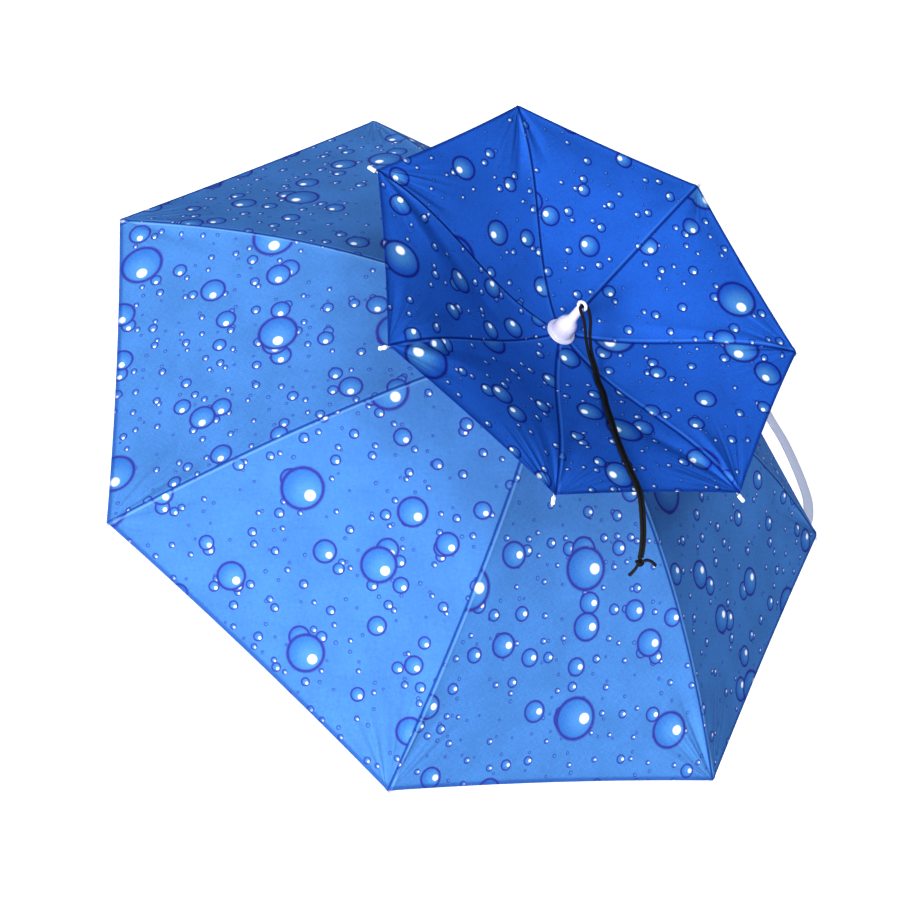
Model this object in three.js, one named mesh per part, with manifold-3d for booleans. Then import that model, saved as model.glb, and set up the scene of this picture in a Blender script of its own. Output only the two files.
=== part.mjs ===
// Umbrella hat: a wide seven-rib lower canopy over a headband, a small bowl-shaped upper canopy above it,
// a moulded cap with a doubled cord through its eye, and a chin strap that lies on the ground.
// Millimetres, +Z up. The origin is on the hat's axis, at the level it rests on; rib 1 points along -Y.

import * as THREE from 'three';
import { mergeVertices } from 'three/addons/utils/BufferGeometryUtils.js';
import Module from 'manifold-3d';

const wasm = await Module();
wasm.setup();

// Sizes
const ribCount = 7;
const firstRibBearing = -90; // degrees from +X
const gap = 0.3; // left between pieces that touch
const ribClearance = 0.8; // from a rib up to the ridge of the cloth, which falls away to both sides of it
const clothWall = 1.2;

// Lower canopy
const lowerReach = 381; // axis to a corner of the cloth
const lowerRise = 188.6; // corner of the cloth to its apex
const lowerRoundness = 1.8; // 1 makes a cone, 2 a parabola
const lowerSlack = 0.012; // how far the cloth sinks between ribs, as a share of the radius there
const lowerHemDip = 0.008; // how far the hem's middle is drawn in, as a share of the reach

// Upper canopy
const upperReach = 213.5;
const bowlDepth = 46.7; // rim above the floor of the bowl
const bowlFullAt = 0.94; // share of the bowl's run where its ribs reach their full height
const upperSlack = 0.02;
const upperHemDip = 0.01;
const upperTwist = 2; // degrees that the upper canopy sits turned on the lower one

// Ribs and their tips
const lowerRibRadius = 1.25;
const upperRibRadius = 1;
const lowerTipRadius = 2.2;
const lowerTipLength = 9;
const upperTipRadius = 1.9;
const upperTipLength = 7.5;
const footCut = 0.5; // taken off the underside of each lower tip, which the hat stands on

// Hub
const hubRadius = 22;
const hubHeight = 7.5;
const postRadius = 6;
const collarRadius = 14;
const collarHeight = 7.5;

// Cap with its eye
const capFlangeRadius = 13.3;
const capFlangeThickness = 2;
const capBodyRadius = 9.8;
const capBodyHeight = 17;
const capNeckRadius = 4.2;
const capHeight = 47;
const eyeHoleRadius = 2.4;
const eyeWireRadius = 1.5;
const eyeBearing = -70; // the way the hole points

// Headband, stays and chin strap
const headRadius = 90;
const headbandWidth = 25;
const headbandWall = 2;
const headDepth = 88; // underside of the hub to the middle of the headband
const stayLean = 30; // how much farther out a stay meets its rib than the inside of the headband
const stayWidth = 8;
const stayThickness = 2;
const strapWidth = 11;
const strapThickness = 1.2;
const strapReach = 372; // axis to the far side of the strap's loop
const strapLift = 0.2; // underside of the strap above the level that the tips stand on

// Cord through the cap's eye
const cordDiameter = 2.8;
const knotRadius = 4;
const tailLength = 17;

// Finishes
const cloth = new THREE.MeshStandardMaterial({ color: 0x2f6fdc, roughness: 0.62, flatShading: true });
const wire = new THREE.MeshStandardMaterial({ color: 0xb9bcc2, roughness: 0.35, metalness: 0.9 });
const whitePlastic = new THREE.MeshStandardMaterial({ color: 0xf1eff6, roughness: 0.35 });
const elastic = new THREE.MeshStandardMaterial({ color: 0x1d4fae, roughness: 0.85 });
const ribbon = new THREE.MeshStandardMaterial({ color: 0xe7e5ee, roughness: 0.7 });
const blackCord = new THREE.MeshStandardMaterial({ color: 0x101012, roughness: 0.75 });

const hat = new THREE.Group();
const radians = (degrees) => (degrees * Math.PI) / 180;
const halfGore = Math.PI / ribCount;
const ribBearing = (rib, canopy = lowerCanopy) => radians(firstRibBearing + canopy.twist) + rib * 2 * halfGore;

// Canopies: the line of a rib, then the cloth between two ribs

// Unit vectors of a rib's line at a radius, in the (radius, height) plane: outward along it, and below it
function ribFrame(canopy, radius) {
  const step = 0.01;
  const rise = canopy.height(radius + step) - canopy.height(radius - step);
  const along = new THREE.Vector2(2 * step, rise).normalize();
  return { along, below: new THREE.Vector2(along.y, -along.x) };
}

// The (radius, height) of a point that lies under the cloth's top face at a rib
function underRib(canopy, radius, depth) {
  const { below } = ribFrame(canopy, radius);
  return new THREE.Vector2(radius, canopy.height(radius)).addScaledVector(below, depth);
}

// Folds that fan out from the corners where the cloth is tied to a tip. A row is one fold: its rib, its
// lean from the rib in degrees (anticlockwise is positive), its length and depth as shares of the reach,
// and its spread in degrees. A negative depth is a valley.
const lowerFolds = [
  { rib: 0, lean: 11, length: 0.32, depth: -0.007, spread: 5 },
  { rib: 0, lean: 24, length: 0.24, depth: 0.005, spread: 6 },
  { rib: 0, lean: -12, length: 0.28, depth: -0.006, spread: 5 },
  { rib: 1, lean: 12, length: 0.24, depth: -0.006, spread: 5 },
  { rib: 1, lean: -12, length: 0.34, depth: -0.007, spread: 5 },
  { rib: 1, lean: -25, length: 0.22, depth: 0.004, spread: 6 },
  { rib: 2, lean: -12, length: 0.26, depth: -0.006, spread: 5 },
  { rib: 3, lean: -12, length: 0.24, depth: -0.006, spread: 6 },
  { rib: 4, lean: 12, length: 0.22, depth: -0.005, spread: 6 },
  { rib: 5, lean: -12, length: 0.24, depth: -0.005, spread: 5 },
  { rib: 6, lean: 12, length: 0.28, depth: -0.006, spread: 5 },
];
const upperFolds = [
  { rib: 0, lean: -15, length: 0.5, depth: 0.016, spread: 7 },
  { rib: 0, lean: 10, length: 0.85, depth: -0.014, spread: 4.5 },
  { rib: 0, lean: 24, length: 0.5, depth: 0.01, spread: 7 },
  { rib: 1, lean: -12, length: 0.5, depth: -0.016, spread: 5 },
  { rib: 1, lean: 11, length: 0.65, depth: -0.014, spread: 4.5 },
  { rib: 2, lean: -15, length: 0.7, depth: -0.016, spread: 6 },
  { rib: 2, lean: 14, length: 0.4, depth: 0.014, spread: 5 },
  { rib: 3, lean: 7, length: 1.0, depth: 0.008, spread: 3.5 },
  { rib: 3, lean: -14, length: 0.28, depth: 0.014, spread: 6 },
  { rib: 4, lean: -14, length: 0.34, depth: 0.012, spread: 6 },
  { rib: 4, lean: 15, length: 0.3, depth: -0.01, spread: 6 },
  { rib: 5, lean: 12, length: 0.42, depth: -0.016, spread: 6 },
  { rib: 5, lean: -14, length: 0.3, depth: -0.01, spread: 6 },
  { rib: 6, lean: 12, length: 0.85, depth: -0.02, spread: 5.5 },
  { rib: 6, lean: -12, length: 0.4, depth: -0.01, spread: 5 },
  { rib: 6, lean: 25, length: 0.5, depth: 0.008, spread: 8 },
];

// How far the folds lift a point of the cloth, from its plan position
function foldLift(canopy, x, y) {
  let lift = 0;
  for (const fold of canopy.folds) {
    const bearing = ribBearing(fold.rib, canopy);
    const back = canopy.reach - x * Math.cos(bearing) - y * Math.sin(bearing);
    const aside = y * Math.cos(bearing) - x * Math.sin(bearing);
    const run = Math.hypot(back, aside) / (fold.length * canopy.reach);
    const off = (THREE.MathUtils.radToDeg(Math.atan2(aside, back)) - fold.lean) / fold.spread;
    if (run < 1) lift += fold.depth * canopy.reach * Math.sin(Math.PI * run ** 0.85) * Math.exp(-(Math.abs(off) ** 1.35));
  }
  return lift;
}

// A point of a canopy's top face: turn counts gores from rib 1, radius is where its row meets the ribs.
// The cloth spans straight from rib to rib, sinks by its slack, and its hem is drawn in between the tips.
function clothPoint(canopy, turn, radius) {
  const gore = Math.floor(turn);
  const side = 2 * (turn - gore) - 1;
  const sink = 1 - side * side;
  const share = (radius - canopy.hole) / (canopy.reach - canopy.hole);
  const { along, below } = ribFrame(canopy, radius);
  const middle = new THREE.Vector2(radius * Math.cos(halfGore), canopy.height(radius));
  middle.addScaledVector(below, canopy.slack * radius * sink * share * (1 - share ** 6));
  middle.addScaledVector(along, -canopy.hemDip * canopy.reach * sink * share ** 4);
  const across = radius * Math.sin(halfGore) * side;
  const bearing = ribBearing(gore, canopy) + halfGore;
  const x = middle.x * Math.cos(bearing) - across * Math.sin(bearing);
  const y = middle.x * Math.sin(bearing) + across * Math.cos(bearing);
  const lift = foldLift(canopy, x, y);
  const out = -below.x * lift;
  return new THREE.Vector3(x + out * Math.cos(bearing), y + out * Math.sin(bearing), middle.y - below.y * lift);
}

// The cloth's outward direction at a point. On a seam it leans to neither side.
function clothNormal(canopy, turn, radius) {
  const step = 1e-3;
  const before = clothPoint(canopy, (turn - step + ribCount) % ribCount, radius);
  const after = clothPoint(canopy, (turn + step) % ribCount, radius);
  const inner = clothPoint(canopy, turn % ribCount, radius - step);
  const outer = clothPoint(canopy, turn % ribCount, radius + step);
  const normal = outer.sub(inner).cross(after.sub(before));
  if (Number.isInteger(turn)) {
    const bearing = ribBearing(turn, canopy);
    const across = new THREE.Vector3(-Math.sin(bearing), Math.cos(bearing), 0);
    normal.addScaledVector(across, -normal.dot(across));
  }
  return normal.normalize();
}

// The closed cloth of one gore, which keeps half a gap from its seams: its top face, the same face moved in
// by the wall, and the edges between them
function clothPanel(canopy, gore) {
  const places = [...canopy.places, 1];
  const radii = [canopy.hole];
  for (let row = 0; row < canopy.rows; row += 1) {
    radii.push(canopy.seat + (canopy.reach - canopy.seat) * (row / (canopy.rows - 1)) ** 0.9);
  }
  const top = [];
  const bottom = [];
  for (const radius of radii) {
    const margin = gap / 2 / (2 * radius * Math.sin(halfGore));
    for (const place of places) {
      const point = clothPoint(canopy, gore + THREE.MathUtils.clamp(place, margin, 1 - margin), radius);
      top.push(...point.toArray());
      bottom.push(...point.addScaledVector(clothNormal(canopy, gore + place, radius), -clothWall).toArray());
    }
  }
  const count = places.length;
  const under = top.length / 3;
  const index = [];
  const quad = (a, b, c, d) => index.push(a, b, c, a, c, d);
  for (let row = 0; row < canopy.rows; row += 1) {
    for (let column = 0; column + 1 < count; column += 1) {
      const a = row * count + column;
      quad(a, a + count, a + count + 1, a + 1);
      quad(under + a, under + a + 1, under + a + count + 1, under + a + count);
    }
    const [left, right] = [row * count, row * count + count - 1];
    quad(left, under + left, under + left + count, left + count);
    quad(right, right + count, under + right + count, under + right);
  }
  const hem = canopy.rows * count;
  for (let column = 0; column + 1 < count; column += 1) {
    quad(column, column + 1, under + column + 1, under + column);
    quad(hem + column + 1, hem + column, under + hem + column, under + hem + column + 1);
  }
  const panel = new THREE.BufferGeometry();
  panel.setAttribute('position', new THREE.Float32BufferAttribute([...top, ...bottom], 3));
  panel.setIndex(index);
  return panel;
}

// Solids

// The same geometry with its corners merged and its faces pointing out
function closed(geometry) {
  const bare = geometry.clone();
  bare.deleteAttribute('normal');
  bare.deleteAttribute('uv');
  const merged = mergeVertices(bare, 1e-4);
  const { array } = merged.getAttribute('position');
  const faces = [];
  let volume = 0;
  const corner = (i) => new THREE.Vector3(array[3 * i], array[3 * i + 1], array[3 * i + 2]);
  for (let i = 0; i < merged.index.count; i += 3) {
    const [a, b, c] = [0, 1, 2].map((k) => merged.index.getX(i + k));
    if (a === b || b === c || c === a) continue;
    faces.push(a, b, c);
    volume += corner(a).dot(corner(b).cross(corner(c)));
  }
  if (volume < 0) faces.reverse();
  merged.setIndex(faces);
  return merged;
}

function toManifold(geometry) {
  const body = closed(geometry);
  const vertProperties = new Float32Array(body.getAttribute('position').array);
  return new wasm.Manifold(new wasm.Mesh({ numProp: 3, vertProperties, triVerts: new Uint32Array(body.index.array) }));
}

function fromManifold(solid) {
  const mesh = solid.getMesh();
  const geometry = new THREE.BufferGeometry();
  geometry.setAttribute('position', new THREE.BufferAttribute(new Float32Array(mesh.vertProperties), 3));
  geometry.setIndex(Array.from(mesh.triVerts));
  return geometry;
}

// A closed (radius, height) profile turned about the upright axis
function turned(profile, sides) {
  const points = profile.map(([radius, height]) => new THREE.Vector2(radius, height));
  return new THREE.LatheGeometry(points, sides).rotateX(Math.PI / 2);
}

// A round bar along a curve
function bar(curve, radius, steps, sides) {
  const section = new THREE.Shape();
  for (let i = 0; i < sides; i += 1) {
    const angle = (2 * Math.PI * i) / sides;
    section[i ? 'lineTo' : 'moveTo'](radius * Math.cos(angle), radius * Math.sin(angle));
  }
  section.closePath();
  return new THREE.ExtrudeGeometry(section, { steps, extrudePath: curve, bevelEnabled: false });
}

// The middle of a rib: a curve in the plane y = 0 that keeps its depth under the cloth
class RibLine extends THREE.Curve {
  constructor(canopy, start, depth) {
    super();
    Object.assign(this, { canopy, start, depth });
  }

  getPoint(t, target = new THREE.Vector3()) {
    const radius = this.start + (this.canopy.reach - this.start) * t;
    const { x, y } = underRib(this.canopy, radius, this.depth);
    return target.set(x, 0, y);
  }
}

function addPiece(name, geometry, finish, bearing = 0) {
  const mesh = new THREE.Mesh(closed(geometry), finish);
  mesh.name = name;
  mesh.rotation.z = bearing;
  hat.add(mesh);
}

function forEachRib(action) {
  for (let rib = 0; rib < ribCount; rib += 1) action(rib + 1, ribBearing(rib), ribBearing(rib, upperCanopy));
}

// Heights that follow from the sizes
const lowerRibDepth = clothWall + ribClearance + lowerRibRadius;
const upperRibDepth = clothWall + ribClearance + upperRibRadius;
const lowerCanopy = {
  reach: lowerReach,
  twist: 0,
  hole: (postRadius + 2 * gap) / Math.cos(halfGore),
  seat: hubRadius / Math.cos(halfGore),
  height: (radius) => cornerHeight + lowerRise * (1 - (Math.max(radius, 0) / lowerReach) ** lowerRoundness),
  slack: lowerSlack,
  hemDip: lowerHemDip,
  folds: lowerFolds,
  places: [0, 0.1, 0.28, 0.5, 0.72, 0.9],
  rows: 12,
};

// The tip runs on from the rib's end, so its slope and size set how high the cloth's corners stand
const rimSlope = Math.atan((lowerRise * lowerRoundness) / lowerReach);
const tipDrop = (gap + lowerTipLength - lowerTipRadius) * Math.sin(rimSlope);
const cornerHeight = lowerRibDepth * Math.cos(rimSlope) + tipDrop + lowerTipRadius - footCut;

const apexHeight = lowerCanopy.height(0);
const collarBase = apexHeight + gap;
const bowlFloor = collarBase + collarHeight + gap + clothWall;
const bowlStart = capFlangeRadius + 2;
const upperCanopy = {
  reach: upperReach,
  twist: upperTwist,
  hole: (postRadius + 2 * gap) / Math.cos(halfGore),
  seat: bowlStart / Math.cos(halfGore),
  height: (radius) => {
    const run = (radius - bowlStart) / ((upperReach - bowlStart) * bowlFullAt);
    return bowlFloor + bowlDepth * Math.sin((Math.PI / 2) * THREE.MathUtils.clamp(run, 0, 1)) ** 2;
  },
  slack: upperSlack,
  hemDip: upperHemDip,
  folds: upperFolds,
  places: [0, 0.06, 0.14, 0.28, 0.5, 0.72, 0.86, 0.94],
  rows: 11,
};
const capBase = bowlFloor + gap;
const hubTop = lowerCanopy.height(lowerCanopy.seat) - clothWall - gap;
const hubBase = hubTop - hubHeight;
const headbandBase = hubBase - headDepth - headbandWidth / 2;
const headbandOuter = headRadius + headbandWall;

// The pieces

function addCanopies() {
  for (let gore = 0; gore < ribCount; gore += 1) {
    addPiece(`lower_panel_${gore + 1}`, clothPanel(lowerCanopy, gore), cloth);
    addPiece(`upper_panel_${gore + 1}`, clothPanel(upperCanopy, gore), cloth);
  }
}

// A tip's round-ended peg, standing on its flat end
function tipPeg(radius, length) {
  const profile = [[0, 0], [radius, 0], [radius, length - radius]];
  for (const degrees of [30, 60]) {
    const angle = radians(degrees);
    profile.push([radius * Math.cos(angle), length - radius + radius * Math.sin(angle)]);
  }
  return turned([...profile, [0, length]], 8);
}

// The peg laid on from the end of a rib, in the plane y = 0
function placedTip(canopy, depth, radius, length) {
  const { along } = ribFrame(canopy, canopy.reach);
  const start = underRib(canopy, canopy.reach, depth).addScaledVector(along, gap);
  return tipPeg(radius, length).rotateY(Math.atan2(along.x, along.y)).translate(start.x, 0, start.y);
}

function addRibs() {
  const floorBlock = new THREE.BoxGeometry(4 * lowerReach, 4 * lowerTipLength, lowerTipLength);
  floorBlock.translate(0, 0, -lowerTipLength / 2);
  const peg = toManifold(placedTip(lowerCanopy, lowerRibDepth, lowerTipRadius, lowerTipLength));
  const foot = fromManifold(peg.subtract(toManifold(floorBlock)));
  const upperTip = placedTip(upperCanopy, upperRibDepth, upperTipRadius, upperTipLength);
  const lowerRib = bar(new RibLine(lowerCanopy, hubRadius + ribClearance, lowerRibDepth), lowerRibRadius, 12, 6);
  const upperRib = bar(new RibLine(upperCanopy, collarRadius + gap, upperRibDepth), upperRibRadius, 8, 6);
  forEachRib((number, bearing, upperBearing) => {
    addPiece(`lower_rib_${number}`, lowerRib, wire, bearing);
    addPiece(`upper_rib_${number}`, upperRib, wire, upperBearing);
    addPiece(`lower_tip_${number}`, foot, whitePlastic, bearing);
    addPiece(`upper_tip_${number}`, upperTip, whitePlastic, upperBearing);
  });
}

// The hub's disc carries the lower ribs; its post runs up through both cloths to the cap
function addHub() {
  const postTop = capBase - gap;
  const disc = [[0, hubBase], [hubRadius - 1.5, hubBase], [hubRadius, hubBase + 1.5], [hubRadius, hubTop]];
  addPiece('hub_post', turned([...disc, [postRadius, hubTop], [postRadius, postTop], [0, postTop]], 24), whitePlastic);
  const bore = postRadius + gap;
  const collarTop = collarBase + collarHeight;
  const collar = [[bore, collarBase], [collarRadius, collarBase], [collarRadius, collarTop], [bore, collarTop]];
  addPiece('upper_hub', turned([...collar, collar[0]], 24), whitePlastic);
}

// The cap: a flange, a bell-shaped body, a neck and an eye for the cord
function addCap() {
  const eyeOuter = eyeHoleRadius + 2 * eyeWireRadius;
  const eyeRing = eyeHoleRadius + eyeWireRadius;
  const eyeHeight = capHeight - eyeOuter;
  const neckTop = eyeHeight - eyeHoleRadius - 0.4 * eyeWireRadius;
  const neckFoot = capFlangeThickness + capBodyHeight;
  const profile = [
    [0, 0],
    [capFlangeRadius, 0],
    [capFlangeRadius, 0.6 * capFlangeThickness],
    [0.9 * capFlangeRadius, capFlangeThickness],
    [1.02 * capBodyRadius, 1.2 * capFlangeThickness],
    [capBodyRadius, capFlangeThickness + 0.45 * capBodyHeight],
    [0.88 * capBodyRadius, capFlangeThickness + 0.75 * capBodyHeight],
    [0.62 * capBodyRadius, neckFoot],
    [capNeckRadius, neckFoot + 0.3 * (neckTop - neckFoot)],
    [0.92 * capNeckRadius, neckTop],
    [0, neckTop],
  ];
  const eye = new THREE.TorusGeometry(eyeRing, eyeWireRadius, 8, 16);
  eye.rotateX(Math.PI / 2).rotateZ(radians(eyeBearing + 90)).translate(0, 0, eyeHeight);
  const cap = toManifold(turned(profile, 20)).add(toManifold(eye));
  addPiece('cap', fromManifold(cap).translate(0, 0, capBase), whitePlastic);
}

function addHeadband() {
  const top = headbandBase + headbandWidth;
  const band = [[headRadius, headbandBase], [headbandOuter, headbandBase], [headbandOuter, top], [headRadius, top]];
  addPiece('headband', turned([...band, band[0]], 36), elastic);
}

// The outline of a flat strip that follows a line of points, half its thickness to each side
function stripOutline(points, thickness) {
  const sides = [[], []];
  points.forEach((point, i) => {
    const before = point.clone().sub(points[Math.max(i - 1, 0)]).normalize();
    const after = points[Math.min(i + 1, points.length - 1)].clone().sub(point).normalize();
    const heading = before.add(after).normalize();
    const last = points[Math.min(i + 1, points.length - 1)].clone().sub(i + 1 < points.length ? point : points[i - 1]);
    const reach = thickness / 2 / Math.abs(heading.dot(last.normalize()));
    const normal = new THREE.Vector2(-heading.y, heading.x).multiplyScalar(reach);
    sides[0].push(point.clone().add(normal));
    sides[1].unshift(point.clone().sub(normal));
  });
  return new THREE.Shape([...sides[0], ...sides[1]]);
}

// A stay hangs from each lower rib and lies against the outside of the headband
function addStays() {
  const stayReach = headRadius + stayLean;
  const { below } = ribFrame(lowerCanopy, stayReach);
  const top = underRib(lowerCanopy, stayReach, lowerRibDepth + lowerRibRadius + gap);
  const bandLine = headbandOuter + gap + stayThickness / 2;
  const bend = new THREE.Vector2(bandLine, headbandBase + headbandWidth + stayThickness);
  const foot = new THREE.Vector2(bandLine, headbandBase + stayThickness);
  const knee = top.clone().addScaledVector(below, 2 * stayThickness);
  const outline = stripOutline([top, knee, bend, foot], stayThickness);
  const stay = new THREE.ExtrudeGeometry(outline, { depth: stayWidth, bevelEnabled: false });
  stay.translate(0, 0, -stayWidth / 2).rotateX(Math.PI / 2);
  forEachRib((number, bearing) => addPiece(`stay_${number}`, stay, elastic, bearing));
}

// The chin strap's way from one side of the headband over the ground to the other: bearing in degrees,
// distance from the axis as a share of strapReach, and height as a share of the headband's lower edge
const strapRoute = [
  { bearing: 137.5, out: 0.285, height: 0.72 },
  { bearing: 131, out: 0.36, height: 0.3 },
  { bearing: 126, out: 0.43, height: 0.03 },
  { bearing: 119.2, out: 0.616, height: 0 },
  { bearing: 115.1, out: 0.772, height: 0 },
  { bearing: 111.8, out: 0.898, height: 0 },
  { bearing: 108, out: 0.975, height: 0 },
  { bearing: 103.2, out: 1.002, height: 0 },
  { bearing: 97.7, out: 1.004, height: 0 },
  { bearing: 91.5, out: 1, height: 0 },
  { bearing: 85.5, out: 1.001, height: 0 },
  { bearing: 81.5, out: 1.013, height: 0 },
  { bearing: 77.1, out: 1.022, height: 0 },
  { bearing: 73.7, out: 1.028, height: 0 },
  { bearing: 70.7, out: 1.03, height: 0 },
  { bearing: 67.2, out: 1.014, height: 0 },
  { bearing: 64, out: 0.963, height: 0 },
  { bearing: 61.2, out: 0.875, height: 0 },
  { bearing: 57.4, out: 0.734, height: 0 },
  { bearing: 53.8, out: 0.583, height: 0 },
  { bearing: 49.8, out: 0.46, height: 0.02 },
  { bearing: 45, out: 0.36, height: 0.28 },
  { bearing: 41, out: 0.28, height: 0.74 },
];

// Either end of the strap lies flat on the headband and then curves away from it: height above the
// headband's lower edge as a share of its width, and distance off it in strap thicknesses
const strapEnd = [
  { up: 0.8, off: 0.2 },
  { up: 0.4, off: 0.2 },
  { up: 0.05, off: 0.7 },
  { up: -0.35, off: 2.6 },
];

// A point on the strap's middle line, from cylindrical coordinates
function strapPoint(bearing, radius, height) {
  return new THREE.Vector3(radius * Math.cos(radians(bearing)), radius * Math.sin(radians(bearing)), height);
}

// The strap leaves the headband halfway between two stays on either side, runs level in its width, and
// is swept as a flat section along its route
function addStrap() {
  const ends = [2.5, 4.5].map((turn) => THREE.MathUtils.radToDeg(ribBearing(turn)));
  const seat = headbandOuter + gap + strapThickness / 2;
  const ground = strapLift + strapThickness / 2;
  const sewn = (bearing) => strapEnd.map(({ up, off }) =>
    strapPoint(bearing, seat + off * strapThickness, headbandBase + up * headbandWidth));
  const points = [
    ...sewn(ends[1]),
    ...strapRoute.map(({ bearing, out, height }) =>
      strapPoint(bearing, out * strapReach, ground + height * (headbandBase - ground))),
    ...sewn(ends[0]).reverse(),
  ];
  const curve = new THREE.CatmullRomCurve3(points, false, 'centripetal');
  const stations = 60;
  const corners = [];
  for (let i = 0; i <= stations; i += 1) {
    const point = curve.getPointAt(i / stations);
    const tangent = curve.getTangentAt(i / stations);
    const outward = new THREE.Vector3(point.x, point.y, 0).normalize();
    const level = new THREE.Vector3(tangent.x, tangent.y, 0);
    const upright = THREE.MathUtils.clamp(1.5 - 4 * level.length(), 0, 1);
    level.normalize().lerp(outward.multiplyScalar(i < stations / 2 ? 1 : -1), upright).normalize();
    const across = new THREE.Vector3(-level.y, level.x, 0).multiplyScalar(strapWidth / 2);
    const face = tangent.clone().cross(across).normalize().multiplyScalar(strapThickness / 2);
    for (const [a, b] of [[1, 1], [-1, 1], [-1, -1], [1, -1]]) {
      const corner = point.clone().addScaledVector(across, a).addScaledVector(face, b);
      corners.push(corner.x, corner.y, Math.max(corner.z, strapLift));
    }
  }
  const index = [0, 1, 2, 0, 2, 3];
  for (let i = 0; i < stations; i += 1) {
    for (let k = 0; k < 4; k += 1) {
      const [a, b] = [4 * i + k, 4 * i + ((k + 1) % 4)];
      index.push(a, a + 4, b + 4, a, b + 4, b);
    }
  }
  const end = 4 * stations;
  index.push(end, end + 2, end + 1, end, end + 3, end + 2);
  const strap = new THREE.BufferGeometry();
  strap.setAttribute('position', new THREE.Float32BufferAttribute(corners, 3));
  strap.setIndex(index);
  addPiece('chin_strap', strap, ribbon);
}

// The cord's middle line from the eye down into the bowl, up over its rim and out to the knot: points
// chosen by eye, with half the distance between the middles of its two strands
const cordRoute = [
  { x: 3.2, y: 0.3, z: 248.5, apart: 4.4 },
  { x: 8, y: 1.1, z: 246.3, apart: 4.3 },
  { x: 14, y: 2.3, z: 241.5, apart: 3.7 },
  { x: 22.1, y: 3.8, z: 232, apart: 2.7 },
  { x: 33, y: 5.9, z: 222.5, apart: 1.9 },
  { x: 45.9, y: 8.6, z: 215.2, apart: 1.65 },
  { x: 57, y: 5, z: 215.4, apart: 1.65 },
  { x: 72.3, y: -0.9, z: 220.9, apart: 1.65 },
  { x: 87, y: -10.2, z: 227.8, apart: 1.65 },
  { x: 102.4, y: -18.6, z: 234.6, apart: 1.65 },
  { x: 127.2, y: -30.8, z: 243.9, apart: 1.65 },
  { x: 147.9, y: -38.8, z: 250.2, apart: 1.65 },
  { x: 164, y: -42.6, z: 253.3, apart: 1.65 },
  { x: 178.1, y: -45, z: 255.1, apart: 1.65 },
  { x: 188, y: -47.6, z: 256, apart: 1.65 },
  { x: 197.5, y: -50, z: 254.1, apart: 1.65 },
  { x: 208, y: -51.8, z: 249, apart: 1.65 },
  { x: 219, y: -53.4, z: 242, apart: 1.6 },
  { x: 227.4, y: -54.2, z: 233.6, apart: 1.55 },
];
const knotCentre = new THREE.Vector3(234.5, -54.5, 223);

// One strand of the cord: out of the eye along the hole, then beside the middle line. Side is 1 or -1.
function cordStrand(side) {
  const hole = new THREE.Vector3(Math.cos(radians(eyeBearing)), Math.sin(radians(eyeBearing)), 0);
  const eye = new THREE.Vector3(0, 0, capBase + capHeight - eyeHoleRadius - 2 * eyeWireRadius);
  const middles = cordRoute.map(({ x, y, z }) => new THREE.Vector3(x, y, z));
  const last = middles[middles.length - 1];
  const arrival = knotCentre.clone().sub(last).normalize();
  middles.push(knotCentre.clone().addScaledVector(arrival, -(knotRadius + gap)));
  const points = [0.5 * gap, cordDiameter].map((out) => eye.clone().addScaledVector(hole, side * out));
  middles.forEach((middle, i) => {
    const heading = middles[Math.min(i + 1, middles.length - 1)].clone().sub(middles[Math.max(i - 1, 0)]);
    const beside = new THREE.Vector3(heading.y, -heading.x, 0).normalize();
    const { apart } = cordRoute[Math.min(i, cordRoute.length - 1)];
    points.push(middle.clone().addScaledVector(beside, side * apart));
  });
  return bar(new THREE.CatmullRomCurve3(points, false, 'centripetal'), cordDiameter / 2, 36, 8);
}

// The knot with its two cut ends: one hangs down, the other curls outward
function addCord() {
  addPiece('cord_strand_1', cordStrand(1), blackCord);
  addPiece('cord_strand_2', cordStrand(-1), blackCord);
  const ends = [
    [[0.1, 0, -0.5], [0.05, 0.05, -1.2]],
    [[0.06, 0.24, 0.24], [0.42, 0.65, 0.2]],
  ];
  let knot = toManifold(new THREE.SphereGeometry(knotRadius, 12, 8));
  for (const end of ends) {
    const points = [[0, 0, 0], ...end].map(([x, y, z]) => new THREE.Vector3(x, y, z).multiplyScalar(tailLength));
    knot = knot.add(toManifold(bar(new THREE.CatmullRomCurve3(points), cordDiameter / 2, 6, 8)));
  }
  addPiece('cord_knot', fromManifold(knot).translate(...knotCentre.toArray()), blackCord);
}

addCanopies();
addRibs();
addHub();
addCap();
addHeadband();
addStays();
addStrap();
addCord();

export default hat;
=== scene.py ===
import math

import bpy
import numpy as np
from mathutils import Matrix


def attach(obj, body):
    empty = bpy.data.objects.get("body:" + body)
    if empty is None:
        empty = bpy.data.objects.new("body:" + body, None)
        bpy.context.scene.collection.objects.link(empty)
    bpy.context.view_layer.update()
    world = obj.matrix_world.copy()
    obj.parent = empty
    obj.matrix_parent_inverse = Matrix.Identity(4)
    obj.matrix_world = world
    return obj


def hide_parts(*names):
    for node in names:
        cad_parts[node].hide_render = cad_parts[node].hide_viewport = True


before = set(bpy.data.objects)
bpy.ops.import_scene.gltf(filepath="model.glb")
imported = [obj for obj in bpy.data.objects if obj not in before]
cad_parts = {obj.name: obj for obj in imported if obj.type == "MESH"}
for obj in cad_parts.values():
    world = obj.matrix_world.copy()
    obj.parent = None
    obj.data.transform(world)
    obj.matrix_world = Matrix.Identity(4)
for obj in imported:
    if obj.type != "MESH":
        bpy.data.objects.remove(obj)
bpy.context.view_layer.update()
mm = 0.001
ribCount = 7
halfGore = math.pi / ribCount
firstRib = math.radians(-90)


# Each vector divided by its own length
def unit(vectors):
    return vectors / np.maximum(np.linalg.norm(vectors, axis=-1, keepdims=True), 1e-12)


# Meshes

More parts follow.
